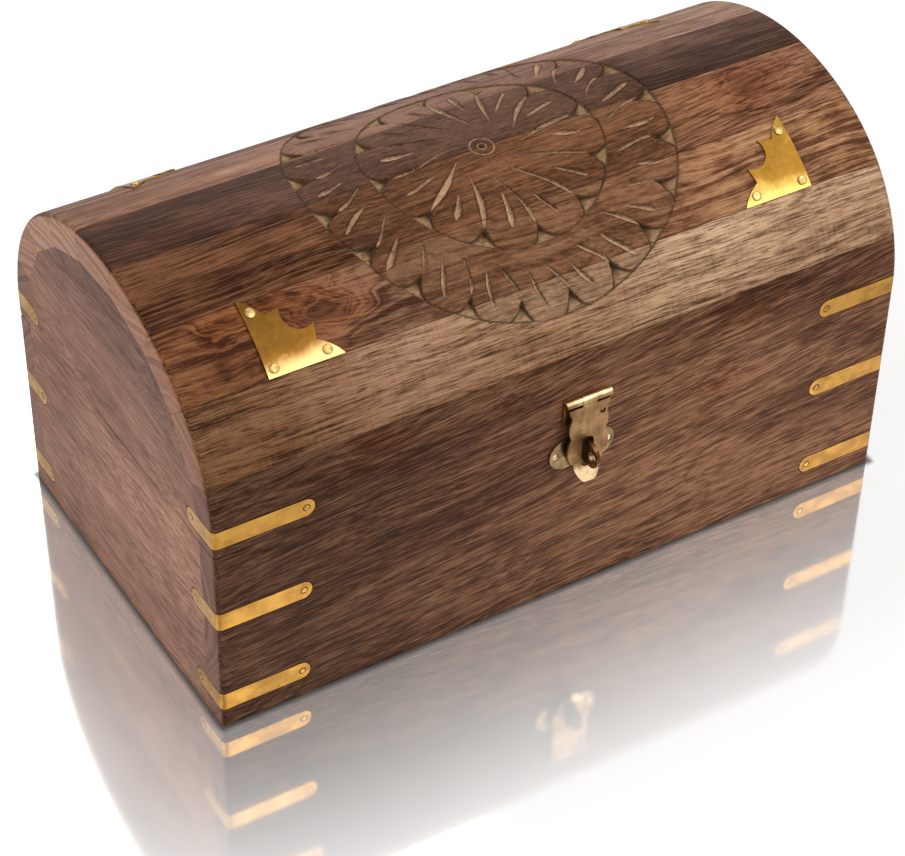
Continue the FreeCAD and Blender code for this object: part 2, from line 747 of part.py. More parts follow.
leg = d.bracket_leg
notch_far, spike_far = leg - d.bracket_notch_back, leg - d.bracket_spike_back
bracket_corners = scalloped([
    (as_size(0), as_size(0)), (leg, as_size(0)),
    (notch_far, d.bracket_notch_width, d.bracket_tip_swell),
    (spike_far, d.bracket_spike_width),
    (d.bracket_spike_width, spike_far, -d.bracket_scoop_depth),
    (d.bracket_notch_width, notch_far),
    (as_size(0), leg, d.bracket_tip_swell),
], 1)
nail_near, nail_far = d.bracket_nail_inset, d.bracket_nail_reach
bracket_nail_spots = [(nail_near, nail_near), (nail_far, nail_near), (nail_near, nail_far)]
shell_margin = as_size(4)
bracket_nails = []


def dome_place(along, x):
    # Where a fitting sits on the dome: X outwards from the middle, Z square to the face.
    y, z = arch_point(along, as_size(0))
    tilt = arch_turn(along)[1].value - 90
    return FreeCAD.Placement(Vector(x, y.value, z.value), FreeCAD.Rotation(Vector(1, 0, 0), -tilt))


def dome_rod(name, seat, low, high, radius):
    # A round pin square to the dome, from one height over its face to another.
    pin = doc.addObject("Part::Cylinder", name)
    pin.setExpression("Radius", radius.text)
    pin.setExpression("Height", (high - low).text)
    pin.Placement = seat.multiply(FreeCAD.Placement(Vector(0, 0, low.value), FreeCAD.Rotation()))
    return pin


for face_name, side_y in faces.items():
    corner_along = seams[1] if side_y < 0 else arch_length - seams[1]
    far_along = corner_along - side_y * leg
    first, last = sorted((corner_along + side_y * shell_margin, far_along - side_y * shell_margin),
                         key=lambda size: size.value)
    outside = arch_path(first, last, -d.bracket_thick)
    inside = back_along(arch_path(first, last, as_size(0)))
    for side_name, side_x in sides.items():
        name = f"lid_bracket_{face_name}_{side_name}"
        x_corner = side_x * (half_length - d.bracket_from_end)
        x_far = side_x * (half_length - d.bracket_from_end - leg)
        x_low, x_high = sorted((x_corner, x_far), key=lambda size: size.value)
        shell = profile(name + "_shell", "YZ_Plane", outside + inside, x_low, x_high)
        # The outline is drawn flat on the tangent plane at the middle of the bracket's height.
        way = side_x * side_y
        flat = [(-side_x * c[0], -side_y * (c[1] - leg / 2), *((c[2], way * c[3]) if len(c) == 4 else ()))
                for c in bracket_corners]
        middle = corner_along - side_y * leg / 2
        outline = profile(name + "_outline", "XY_Plane", flat, -leg / 2, leg / 2)
        outline.Placement = dome_place(middle, x_corner.value)
        pins = []
        for i, (u, v) in enumerate(bracket_nail_spots):
            seat = dome_place(corner_along - side_y * v, (x_corner - side_x * u).value)
            shank = dome_rod(f"{name}_shank_{i}", seat, -d.nail_length, d.bracket_thick,
                             d.bracket_nail_radius)
            head = dome_rod(f"{name}_head_{i}", seat, d.bracket_thick,
                            d.bracket_thick + d.bracket_head_tall, d.bracket_head_radius)
            pins.append(fuse(f"{name}_nail_{i}", [shank, head]))
        bracket_nails += pins
        node(cut(name, common(name, shell, outline), pins), name)
node(group("lid_bracket_nails", bracket_nails), "lid_bracket_nails")

doc.recompute()
for i, stave in enumerate(staves):
    name = f"lid_stave_{i + 1}"
    pierced = [pin for pin in bracket_nails if pin.Shape.common(stave.Shape).Volume > 0]
    node(cut(name, stave, pierced) if pierced else stave, name)
doc.recompute()

# Every piece is tested before any is written
for thing in doc.Objects:
    if "Invalid" in thing.State or "Error" in thing.State:
        raise RuntimeError(f"{thing.Label} did not build: {thing.State}")
for thing in nodes:
    if thing.Shape.isNull() or not thing.Shape.isValid():
        raise RuntimeError(f"{thing.Label} has no sound shape")

os.makedirs("parts", exist_ok=True)
for thing in nodes:
    thing.Shape.exportStep(f"parts/{thing.Label}.step")
print(len(nodes), "pieces written")
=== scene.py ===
import math
import random

import bmesh
import bpy
import numpy as np
from mathutils import Matrix, Vector


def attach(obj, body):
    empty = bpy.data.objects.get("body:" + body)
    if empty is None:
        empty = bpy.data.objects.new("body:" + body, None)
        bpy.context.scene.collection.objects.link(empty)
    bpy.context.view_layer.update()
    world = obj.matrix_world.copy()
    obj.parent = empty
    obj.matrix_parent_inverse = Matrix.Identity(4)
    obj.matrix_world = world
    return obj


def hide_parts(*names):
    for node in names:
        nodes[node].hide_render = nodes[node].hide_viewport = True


# Looks of a domed wooden jewelry box with brass fittings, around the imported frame.
# Sizes in the settings are millimetres; the meshes are in metres.

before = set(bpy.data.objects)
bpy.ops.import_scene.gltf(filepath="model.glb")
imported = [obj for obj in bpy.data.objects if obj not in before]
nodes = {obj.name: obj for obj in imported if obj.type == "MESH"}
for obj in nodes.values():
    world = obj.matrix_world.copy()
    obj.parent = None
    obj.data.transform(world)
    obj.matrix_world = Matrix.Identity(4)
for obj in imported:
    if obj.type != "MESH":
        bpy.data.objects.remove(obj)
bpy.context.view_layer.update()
scene = bpy.context.scene
scene.view_settings.view_transform = "Standard"
mm = 0.001
boxHalf, boxFront, boxTall = 135.0, 74.0, 148.0    # to the end and front faces of the boards, and the crown
print("frame:", len(nodes), "nodes")


# Camera, at the viewing angle of the photograph

cameraView = {
    "target": (-15.55, -22.43, 41.73),
    "distance": 945.07,
    "heading": 31.929,    # degrees, to the right of straight ahead
    "tilt": 40.194,       # degrees, downwards
    "roll": 1.178,
    "lens": 106.716,
    "sensor": 36,
    "nearest": 20,
}


def makeCamera(view):
    camera = bpy.data.objects.new("boxCamera", bpy.data.cameras.new("boxCamera"))
    scene.collection.objects.link(camera)
    heading, tilt = math.radians(view["heading"]), math.radians(view["tilt"])
    ahead = math.cos(tilt)
    forward = Vector((math.sin(heading) * ahead, math.cos(heading) * ahead, -math.sin(tilt)))
    roll = Matrix.Rotation(math.radians(view["roll"]), 3, "Z")
    turn = forward.to_track_quat("-Z", "Y").to_matrix() @ roll
    place = Vector(view["target"]) * mm - forward * view["distance"] * mm
    camera.matrix_world = Matrix.Translation(place) @ turn.to_4x4()
    camera.data.sensor_width = view["sensor"]
    camera.data.lens = view["lens"]
    camera.data.clip_start = view["nearest"] * mm
    scene.camera = camera


makeCamera(cameraView)


# Shader helper: adds nodes and links them by socket name

class Shader:
    def __init__(self, name):
        self.material = bpy.data.materials.new(name)
        self.material.use_nodes = True
        self.tree = self.material.node_tree
        self.surface = self.tree.nodes["Principled BSDF"]

    def add(self, kind, inputs=None, **settings):
        node = self.tree.nodes.new(kind)
        for key, value in settings.items():
            setattr(node, key, value)
        for key, value in (inputs or {}).items():
            self.feed(node.inputs[key], value)
        return node

    def feed(self, socket, value):
        if isinstance(value, bpy.types.NodeSocket):
            self.tree.links.new(value, socket)
        else:
            socket.default_value = value

    def finish(self, **inputs):
        for key, value in inputs.items():
            self.feed(self.surface.inputs[key.replace("_", " ")], value)
        return self.material

    def place(self):
        # where a point lies on the box, in millimetres
        where = self.add("ShaderNodeTexCoord").outputs["Object"]
        return self.vector("SCALE", where, Scale=1 / mm)

    def vector(self, operation, a, b=None, **more):
        inputs = {0: a, **more}
        if b is not None:
            inputs[1] = b
        node = self.add("ShaderNodeVectorMath", inputs, operation=operation)
        return node.outputs["Value" if operation in ("LENGTH", "DOT_PRODUCT") else "Vector"]

    def maths(self, operation, a, b=0.0, c=0.0, clamp=False):
        node = self.add("ShaderNodeMath", {0: a, 1: b, 2: c}, operation=operation, use_clamp=clamp)
        return node.outputs[0]

    def about(self, value, gain, base):
        # the base, plus the value's swing either side of a half
        return self.maths("MULTIPLY_ADD", self.maths("SUBTRACT", value, 0.5), gain, base)

    def noise(self, vector, scale, detail=2.0, roughness=0.5, output="Fac"):
        # a scale for each axis stretches the noise
        if isinstance(scale, tuple):
            vector, scale = self.vector("MULTIPLY", vector, scale), 1.0
        inputs = {"Vector": vector, "Scale": scale, "Detail": detail, "Roughness": roughness}
        return self.add("ShaderNodeTexNoise", inputs).outputs[output]

    def bent(self, vector, scale, reach):
        # a place pushed about by slow noise
        push = self.vector("SUBTRACT", self.noise(vector, scale, output="Color"), (0.5, 0.5, 0.5))
        return self.vector("ADD", vector, self.vector("MULTIPLY", push, reach))

    def bands(self, distance, rate):
        inputs = {"W": distance, "Scale": rate, "Detail": 3.0, "Roughness": 0.6}
        return self.add("ShaderNodeTexNoise", inputs, noise_dimensions="1D").outputs["Fac"]

    def spread(self, value, low, high, toLow=0.0, toHigh=1.0):
        inputs = {"Value": value, "From Min": low, "From Max": high, "To Min": toLow, "To Max": toHigh}
        return self.add("ShaderNodeMapRange", inputs, interpolation_type="SMOOTHSTEP").outputs[0]

    def mix(self, factor, a, b, blend="MIX"):
        node = self.add("ShaderNodeMix", data_type="RGBA", blend_type=blend)
        for socket, value in ((node.inputs[0], factor), (node.inputs[6], a), (node.inputs[7], b)):
            if isinstance(value, tuple) and len(value) == 3:
                value = (*value, 1.0)
            self.feed(socket, value)
        return node.outputs[2]

    def tint(self, colour, factor):
        return self.mix(1.0, colour, factor, "MULTIPLY")

    def ramp(self, factor, stops):
        node = self.add("ShaderNodeValToRGB", {"Fac": factor})
        line = node.color_ramp.elements
        while len(line) < len(stops):
            line.new(0.5)
        for element, (position, colour) in zip(line, stops):
            element.position = position
            element.color = (*colour, 1.0)
        return node.outputs["Color"]

    def tintRun(self, share, tints):
        # tints at even steps along a run; the ramp holds halves, which keeps its colours below 1
        tints = [tint if isinstance(tint, tuple) else (tint, tint, tint) for tint in tints]
        stops = [((i + 0.5) / len(tints), shaded(tint, 0.5)) for i, tint in enumerate(tints)]
        return self.tint(self.ramp(share, stops), (2.0, 2.0, 2.0))

    def bump(self, height, look):
        inputs = {"Strength": look["bump"], "Distance": look["bumpDepth"] * mm, "Height": height}
        return self.add("ShaderNodeBump", inputs).outputs[0]


def shaded(colour, share):
    return tuple(share * part for part in colour)


def meshFrom(bm, name):
    mesh = bpy.data.meshes.new(name)
    bm.to_mesh(mesh)
    bm.free()
    return mesh


# Wood. Grain runs along X in the settings' frame; the end boards are turned so that theirs runs along Y.
# Band, streak, fibre, patch, blotch and ripple are gains of the layers of grain.
# along: tints from the left end of the box to the right. rise: tints from the floor up.
# knots: X, Y, Z and size. end: sawn end grain. rubbed: worn wood between the cuts of the carving.

woods = {
    "frontWood": {
        "dark": (0.066, 0.024, 0.011), "middle": (0.180, 0.074, 0.036), "light": (0.390, 0.192, 0.100),
        "end": (0.205, 0.102, 0.076), "turn": (0, 5, 0), "shift": (0, 0, 0), "pith": (-30, 55),
        "bandRate": 0.40, "bend": 6.0, "band": 0.28, "streak": 0.42, "fibre": 1.05,
        "patch": 0.45, "blotch": 0.3, "pores": 0.7,
        "along": (0.48, 0.69, 0.86, 0.97, 0.88), "rise": (0.97, 1.06, 1.0, 0.72, 0.76),
        "knots": ((74, -74, 93, 3), (60, -74, 69, 2.5), (-77, -73, 97, 4)),
    },
    "backWood": {
        "dark": (0.062, 0.024, 0.012), "middle": (0.165, 0.072, 0.040), "light": (0.340, 0.180, 0.105),
        "end": (0.240, 0.125, 0.090), "turn": (0, -2, 0), "shift": (310, 0, 20), "pith": (20, 40),
        "bandRate": 0.40, "bend": 7.0, "band": 0.28, "streak": 0.6, "fibre": 0.9,
        "patch": 0.7, "blotch": 0.25, "pores": 0.6,
        "along": (1.05, 1.15, 1.0, 0.85, 0.9), "rise": (1.0, 1.0, 1.0, 0.85, 0.85),
        "knots": ((-40, 74, 60, 3),),
    },
    "endWood": {
        "dark": (0.118, 0.050, 0.032), "middle": (0.290, 0.140, 0.094), "light": (0.500, 0.264, 0.174),
        "turn": (0, 0, 90), "shift": (0, 500, 0), "pith": (60, 90),
        "bandRate": 0.30, "bend": 10.0, "band": 0.12, "streak": 0.35, "fibre": 0.8,
        "patch": 0.35, "blotch": 0.2, "pores": 0.5,
        "rise": (0.95, 1.12, 1.06, (0.82, 0.84, 0.88), (0.70, 0.75, 0.84)),
    },
    "staveWood1": {
        "dark": (0.085, 0.040, 0.020), "middle": (0.360, 0.210, 0.122), "light": (0.570, 0.370, 0.235),
        "end": (0.330, 0.165, 0.110), "turn": (0, 0, 1), "shift": (40, 0, 0), "pith": (-20, 40),
        "bandRate": 0.5, "bend": 4.0, "band": 0.2, "streak": 0.5, "fibre": 0.9,
        "patch": 0.35, "blotch": 0.2, "ripple": 0.14, "pores": 0.75, "carved": True,
        "along": ((0.50, 0.38, 0.29), (0.92, 0.84, 0.82), (0.92, 0.84, 0.76),
                  (1.28, 1.30, 1.30), (1.16, 1.15, 1.12)),
        "rise": (1.0, 1.0, 0.78, (0.84, 0.80, 0.76), 1.14),
    },
    "staveWood2": {
        "dark": (0.070, 0.022, 0.009), "middle": (0.225, 0.095, 0.044), "light": (0.400, 0.200, 0.100),
        "end": (0.350, 0.170, 0.110), "turn": (0, 0, 3), "shift": (120, 0, 0), "pith": (-70, 60),
        "bandRate": 0.45, "bend": 11.0, "band": 0.65, "streak": 0.35, "fibre": 0.7,
        "patch": 0.5, "blotch": 0.7, "pores": 0.4, "carved": True,
        "along": ((0.72, 0.60, 0.48), (0.76, 0.80, 0.90), 0.98, 1.14, (1.42, 1.55, 1.50)),
        "knots": ((-76.4, -46, 134.4, 4), (-111.2, -40.8, 137.6, 3.5), (-95.8, -38.1, 138.9, 3),
                  (-81.7, -45.1, 135, 7)),
    },
    "staveWood3": {
        "dark": (0.044, 0.014, 0.006), "middle": (0.206, 0.081, 0.034), "light": (0.410, 0.182, 0.085),
        "end": (0.380, 0.190, 0.125), "turn": (0, 0, -3), "shift": (-60, 0, 0), "pith": (-40, 20),
        "bandRate": 0.45, "bend": 7.0, "band": 0.38, "streak": 0.6, "fibre": 0.9,
        "patch": 0.6, "blotch": 0.3, "pores": 0.6, "carved": True, "rubbed": (0.190, 0.078, 0.036),
        "along": ((0.53, 0.49, 0.47), 0.76, 1.0, 0.88, (0.96, 1.02, 1.18)),
        "knots": ((103, -20.3, 145.5, 6),),
    },
    "staveWood4": {
        "dark": (0.027, 0.012, 0.008), "middle": (0.075, 0.034, 0.022), "light": (0.165, 0.084, 0.054),
        "end": (0.400, 0.210, 0.140), "turn": (0, 0, 1), "shift": (200, 0, 0), "pith": (10, 60),
        "bandRate": 0.4, "bend": 6.0, "band": 0.35, "streak": 0.6, "fibre": 0.7,
        "patch": 0.9, "blotch": 0.2, "pores": 0.5, "carved": True, "rubbed": (0.175, 0.078, 0.042),
        "along": ((0.96, 0.78, 0.65), (0.95, 0.93, 0.95), 1.08, 1.0, 1.22),
    },
    "staveWood5": {
        "dark": (0.105, 0.048, 0.030), "middle": (0.245, 0.124, 0.082), "light": (0.410, 0.230, 0.155),
        "end": (0.440, 0.240, 0.165), "turn": (0, 0, -1), "shift": (-200, 0, 0), "pith": (30, 50),
        "bandRate": 0.4, "bend": 6.0, "band": 0.3, "streak": 0.5, "fibre": 0.7,
        "patch": 0.5, "blotch": 0.2, "pores": 0.55, "carved": True,
        "along": ((1.02, 0.94, 0.86), 1.46, 1.42, 1.38, (1.36, 1.48, 1.48)),
    },
    "staveWood6": {
        "dark": (0.070, 0.026, 0.012), "middle": (0.205, 0.090, 0.048), "light": (0.370, 0.190, 0.105),
        "end": (0.440, 0.240, 0.165), "turn": (0, 0, 2), "shift": (80, 0, 30), "pith": (60, 70),
        "bandRate": 0.4, "bend": 9.0, "band": 0.4, "streak": 0.6, "fibre": 0.8,
        "patch": 0.6, "blotch": 0.4, "pores": 0.5, "carved": True,
        "along": (1.0, 0.95, 1.0, 1.05, 1.0),
        "knots": ((40, 46.7, 133.9, 4),),
    },
    "staveWood7": {
        "dark": (0.095, 0.045, 0.024), "middle": (0.300, 0.175, 0.105), "light": (0.500, 0.330, 0.225),
        "end": (0.380, 0.200, 0.135), "turn": (0, 0, 0), "shift": (-120, 0, 0), "pith": (40, 40),
        "bandRate": 0.5, "bend": 5.0, "band": 0.25, "streak": 0.5, "fibre": 0.9,
        "patch": 0.4, "blotch": 0.2, "pores": 0.75,
        "along": (1.0, 0.9, 1.1, 1.05, 1.0),
    },
}
grainScales = {
    "sway": (0.008, 0.022, 0.022), "drift": (0.07, 0.12, 0.12), "streak": (0.016, 0.75, 0.75),
    "fibre": (0.07, 1.9, 1.9), "speck": (0.16, 2.2, 2.2), "patch": (0.011, 0.035, 0.035),
    "blotch": (0.07, 0.12, 0.12), "ripple": (0.85, 0.05, 0.05), "sawn": 1.3,
    "ragged": (0.35, 1.3, 1.3), "torn": 1.6, "dust": (0.25, 1.0, 1.0),
}
grainLook = {
    "gain": 1.65, "stops": (0.24, 0.5, 0.78), "pore": (0.56, 0.70), "fleck": (0.42, 0.28), "flecks": 0.5,
    "sawn": (0.75, 0.97), "sawnGain": 0.5, "sawnStops": ((0.3, 0.68), (0.5, 1.0), (0.7, 1.28)),
    "rough": (0.2, 0.8, 0.38, 0.55), "gloss": 0.06, "poreDepth": -0.6, "bump": 0.5, "bumpDepth": 0.08,
}
knotLook = {"drift": (14, 10, 10), "length": 0.55, "push": 2.4, "core": 3.0,
            "warmth": (1.35, 0.98, 0.78), "warm": 0.7, "heart": 0.5, "dark": 0.6}
cutLook = {
    # dark: the colour of the carving's stain and painted shade
    "dark": (0.024, 0.009, 0.003), "stroke": (0.680, 0.430, 0.255),
    "pit": (0.450, 0.275, 0.145), "shade": (0.200, 0.112, 0.050),
    "torn": 1.1, "tornEdge": (0.25, 0.75), "pitEdge": (0.32, 0.58),
    "grainEdge": (0.50, 0.72, 0.0, 0.6), "stainAndShadeEdge": (0.3, 0.6, 0.75, 1.0),
    "dustStops": ((0.35, 0.25), (0.5, 0.70), (0.68, 1.8)), "dusty": 0.45, "rougher": 0.25,
}


def growKnots(shader, place, ring, knots):
    # growth bands pushed outwards round the knots, and how near a point is to one and to its core
    place = shader.bent(place, grainScales["drift"], knotLook["drift"])
    around = core = 0.0
    for x, y, z, size in knots:
        stretch = (knotLook["length"] / size, 1 / size, 1 / size)
        away = shader.vector("MULTIPLY", shader.vector("SUBTRACT", place, (x, y, z)), stretch)
        squared = shader.vector("DOT_PRODUCT", away, away)
        near = shader.maths("EXPONENT", shader.maths("MULTIPLY", squared, -0.5))
        ring = shader.maths("MULTIPLY_ADD", near, knotLook["push"] * size, ring)
        around = shader.maths("ADD", near, around, clamp=True)
        core = shader.maths("ADD", shader.maths("POWER", near, knotLook["core"]), core, clamp=True)
    return ring, around, core


def carvedFinish(shader, look, place, grain, colour, roughness):
    # the mesh's attribute says where wood is freshly cut, dark with stain and painted shade, deep and, in
    # alpha, rubbed
    cut = shader.add("ShaderNodeAttribute", attribute_name="cut").outputs
    fresh, dark, deep = shader.add("ShaderNodeSeparateColor", {0: cut["Color"]}).outputs
    ragged = shader.noise(place, grainScales["ragged"], detail=3)
    torn = shader.about(shader.noise(place, grainScales["torn"], detail=3), cutLook["torn"], fresh)
    fresh = shader.maths("MULTIPLY", fresh, shader.spread(torn, *cutLook["tornEdge"]))

    dust = shader.noise(grain, grainScales["dust"], detail=4, roughness=0.7)
    worn = look.get("rubbed", look["middle"])
    rubbed = shader.ramp(dust, [(at, shaded(worn, share)) for at, share in cutLook["dustStops"]])
    colour = shader.mix(shader.maths("MULTIPLY", cut["Alpha"], cutLook["dusty"]), colour, rubbed)

    pit = shader.mix(shader.spread(ragged, *cutLook["pitEdge"]), cutLook["shade"], cutLook["pit"])
    bare = shader.mix(deep, cutLook["stroke"], pit)
    bare = shader.mix(shader.spread(ragged, *cutLook["grainEdge"]), bare, look["middle"])
    colour = shader.mix(fresh, colour, bare)
    # the dark layer: stain with painted shade and painted shadow from the carving
    stainAndShade = shader.maths("MULTIPLY", dark, shader.spread(ragged, *cutLook["stainAndShadeEdge"]))
    colour = shader.mix(stainAndShade, colour, cutLook["dark"])
    opened = shader.maths("MAXIMUM", fresh, dark)
    return colour, shader.maths("MULTIPLY_ADD", opened, cutLook["rougher"], roughness)


def woodMaterial(name, look):
    shader = Shader(name)
    place = shader.place()
    turn = tuple(math.radians(angle) for angle in look["turn"])
    mapping = {"Vector": place, "Rotation": turn, "Location": look["shift"]}
    lying = shader.add("ShaderNodeMapping", mapping).outputs[0]

    # slow bends in the grain, then growth bands round a pith line
    bend = 2 * look["bend"]
    grain = shader.bent(lying, grainScales["sway"], (0, bend, bend))
    fromPith = shader.vector("SUBTRACT", grain, (0, *look["pith"]))
    ring = shader.vector("LENGTH", shader.vector("MULTIPLY", fromPith, (0, 1, 1)))
    if "knots" in look:
        ring, nearKnot, knotCore = growKnots(shader, place, ring, look["knots"])

    layers = {
        "band": shader.bands(ring, look["bandRate"]),
        "streak": shader.noise(grain, grainScales["streak"], detail=3, roughness=0.6),
        "fibre": shader.noise(grain, grainScales["fibre"], detail=3, roughness=0.6),
        "patch": shader.noise(lying, grainScales["patch"], detail=2.5),
        "blotch": shader.noise(grain, grainScales["blotch"], detail=4, roughness=0.6),
    }
    if "ripple" in look:    # saw marks across the grain
        layers["ripple"] = shader.noise(lying, grainScales["ripple"])
    tone = 0.5
    for layer, part in layers.items():
        tone = shader.about(part, grainLook["gain"] * look[layer], tone)
    tones = (look["dark"], look["middle"], look["light"])
    colour = shader.ramp(tone, tuple(zip(grainLook["stops"], tones)))

    speck = shader.noise(grain, grainScales["speck"], detail=1)
    pore, fleck = (shader.spread(speck, *grainLook[kind]) for kind in ("pore", "fleck"))
    flecks = shader.maths("MULTIPLY", fleck, grainLook["flecks"] * look["pores"])
    colour = shader.mix(flecks, colour, look["light"])
    colour = shader.mix(shader.maths("MULTIPLY", pore, look["pores"]), colour, look["dark"])
    if "knots" in look:
        warm = shader.tint(colour, knotLook["warmth"])
        colour = shader.mix(shader.maths("MULTIPLY", nearKnot, knotLook["warm"]), colour, warm)
        darkness = shader.maths("MULTIPLY", knotCore, knotLook["dark"])
        colour = shader.mix(darkness, colour, shaded(look["dark"], knotLook["heart"]))

    # broad changes of tone along the box and up it
    where = shader.add("ShaderNodeSeparateXYZ", {0: place}).outputs
    if "along" in look:
        share = shader.maths("MULTIPLY_ADD", where[0], 0.5 / boxHalf, 0.5)
        colour = shader.tint(colour, shader.tintRun(share, look["along"]))
    if "rise" in look:
        share = shader.maths("MULTIPLY", where[2], 1 / boxTall)
        colour = shader.tint(colour, shader.tintRun(share, look["rise"]))

    # sawn ends show growth rings instead of long grain
    if "end" in look:
        normal = shader.add("ShaderNodeTexCoord").outputs["Normal"]
        facing = shader.add("ShaderNodeSeparateXYZ", {0: normal}).outputs[0]
        sawn = shader.spread(shader.maths("ABSOLUTE", facing), *grainLook["sawn"])
        specks = shader.noise(place, grainScales["sawn"], detail=3)
        rings = shader.about(specks, grainLook["sawnGain"], layers["band"])
        stops = [(at, shaded(look["end"], share)) for at, share in grainLook["sawnStops"]]
        colour = shader.mix(sawn, colour, shader.ramp(rings, stops))

    roughness = shader.spread(layers["fibre"], *grainLook["rough"])
    if "carved" in look:
        colour, roughness = carvedFinish(shader, look, place, grain, colour, roughness)
    height = shader.maths("MULTIPLY_ADD", pore, grainLook["poreDepth"], layers["fibre"])
    return shader.finish(Base_Color=colour, Roughness=roughness, Normal=shader.bump(height, grainLook),
                         Specular_IOR_Level=grainLook["gloss"])


# Brass. patch: scale of the tarnish. brush: scale of the brushing. rise: brighter or duller steps of tone,
# each from one height to another; on the brackets and the hasp these steps paint reflections and
# highlights.

brasses = {
    "strapBrass": {
        "dull": (0.330, 0.165, 0.036), "warm": (0.460, 0.232, 0.045), "bright": (0.560, 0.298, 0.060),
        "patch": 0.13, "tarnish": 0.9, "rough": (0.30, 0.46), "brush": (0.10, 2.2, 2.2),
        "rise": ((16, 32, -0.12, 0.0),),
    },
    # rise paints a reflection: bright low on the bracket, dull at its top
    "bracketBrass": {
        "dull": (0.090, 0.042, 0.008), "warm": (0.235, 0.117, 0.017), "bright": (0.620, 0.430, 0.115),
        "patch": 0.05, "tarnish": 0.4, "rough": (0.24, 0.36), "brush": (0.5, 0.5, 0.5), "brushed": 0.1,
        "rise": ((122, 132, 0.20, -0.03),),
    },
    # rise paints a reflection: bright low on the bracket, dull at its top
    "leftBracketBrass": {
        "dull": (0.070, 0.031, 0.006), "warm": (0.165, 0.075, 0.013), "bright": (0.620, 0.420, 0.160),
        "patch": 0.05, "tarnish": 0.3, "rough": (0.24, 0.36), "brush": (0.5, 0.5, 0.5), "brushed": 0.1,
        "rise": ((124, 132, 0.22, -0.10),),
    },
    # rise paints highlights on the bent tip, below 58.5 mm, and along the top of the barrel, above 85.2 mm,
    # up to the palest tone
    "haspBrass": {
        "dull": (0.150, 0.076, 0.026), "warm": (0.250, 0.132, 0.054), "bright": (0.350, 0.205, 0.094),
        "paintedHighlight": (0.930, 0.680, 0.380), "patch": 0.14, "rough": (0.26, 0.42), "brush": (0.6, 0.6, 0.06),
        "rise": ((56, 58.5, 0.5, 0.0), (85.2, 86.4, 0.0, 0.27)),
    },
    "stapleNailBrass": {
        "dull": (0.520, 0.380, 0.220), "warm": (0.760, 0.560, 0.340), "bright": (0.900, 0.700, 0.450),
        "patch": 0.30, "rough": (0.26, 0.40), "brush": (1.0, 1.0, 1.0),
    },
    "stapleBrass": {
        "dull": (0.130, 0.083, 0.037), "warm": (0.220, 0.145, 0.068), "bright": (0.330, 0.230, 0.115),
        "patch": 0.2, "rough": (0.28, 0.44), "brush": (0.6, 0.6, 0.06),
    },
    "strapNailBrass": {
        "dull": (0.260, 0.140, 0.045), "warm": (0.460, 0.250, 0.065), "bright": (0.620, 0.360, 0.110),
        "patch": 0.30, "rough": (0.28, 0.44), "brush": (1.0, 1.0, 1.0),
    },
    "nailBrass": {
        "dull": (0.270, 0.160, 0.055), "warm": (0.450, 0.285, 0.095), "bright": (0.660, 0.450, 0.190),
        "patch": 0.30, "rough": (0.22, 0.40), "brush": (1.0, 1.0, 1.0),
    },
    "hingeBrass": {
        "dull": (0.300, 0.180, 0.060), "warm": (0.520, 0.320, 0.100), "bright": (0.680, 0.450, 0.170),
        "patch": 0.12, "rough": (0.28, 0.44), "brush": (0.08, 1.6, 1.6),
    },
    "eyeBrass": {
        "dull": (0.045, 0.019, 0.008), "warm": (0.110, 0.050, 0.020), "bright": (0.280, 0.165, 0.080),
        "patch": 0.25, "rough": (0.32, 0.50), "brush": (0.6, 0.6, 0.06),
    },
}
brassLook = {"tarnish": 1.0, "brushed": 0.35, "stops": (0.30, 0.47, 0.66, 0.95), "roughOver": (0.3, 0.7),
             "dents": 0.35, "brushDepth": 0.12, "bump": 0.35, "bumpDepth": 0.1}


def brassMaterial(name, look):
    shader = Shader(name)
    place = shader.place()
    tarnish = shader.noise(place, look["patch"], detail=4, roughness=0.6)
    brushed = shader.noise(place, look["brush"], detail=3)
    tone = shader.about(tarnish, look.get("tarnish", brassLook["tarnish"]), 0.5)
    tone = shader.about(brushed, look.get("brushed", brassLook["brushed"]), tone)
    up = shader.add("ShaderNodeSeparateXYZ", {0: place}).outputs[2]
    for step in look.get("rise", ()):
        tone = shader.maths("ADD", tone, shader.spread(up, *step))
    # the palest tone, where a finish has one, is a painted highlight
    tones = (look["dull"], look["warm"], look["bright"], look.get("paintedHighlight", look["bright"]))
    colour = shader.ramp(tone, tuple(zip(brassLook["stops"], tones)))
    smooth, rough = look["rough"]
    roughness = shader.spread(tone, *brassLook["roughOver"], rough, smooth)
    dents = shader.noise(place, brassLook["dents"])
    height = shader.maths("MULTIPLY_ADD", brushed, brassLook["brushDepth"], dents)
    return shader.finish(Base_Color=colour, Roughness=roughness, Normal=shader.bump(height, brassLook),
                         Metallic=1.0)


finishes = {name: woodMaterial(name, look) for name, look in woods.items()}
finishes |= {name: brassMaterial(name, look) for name, look in brasses.items()}
print("finishes:", len(finishes))


# Which finish each frame node wears: the first row that its name starts with

nodeFinishes = (
    ("base_front_board", "frontWood"), ("lid_front_rail", "frontWood"),
    ("base_back_board", "backWood"), ("lid_back_rail", "backWood"), ("base_floor_panel", "backWood"),
    ("base_left_end", "endWood"), ("base_right_end", "endWood"),
    ("lid_left_end", "endWood"), ("lid_right_end", "endWood"), ("lid_stave_7", "staveWood7"),
    ("lid_bracket_front_left", "leftBracketBrass"), ("lid_bracket_", "bracketBrass"),
    ("base_strap_", "strapBrass"), ("lid_strap_", "strapBrass"),
    ("base_hinge_", "hingeBrass"), ("lid_hinge_", "hingeBrass"), ("hinge_pin_", "hingeBrass"),
    ("hasp_", "haspBrass"), ("staple_plate", "stapleBrass"), ("staple_eye", "eyeBrass"),
)
for name, thing in nodes.items():
    for start, finish in nodeFinishes:
        if name.startswith(start):
            for socket in thing.material_slots:
                socket.material = finishes[finish]
            break


# Lid arch, as in the frame: two haunches and a crown

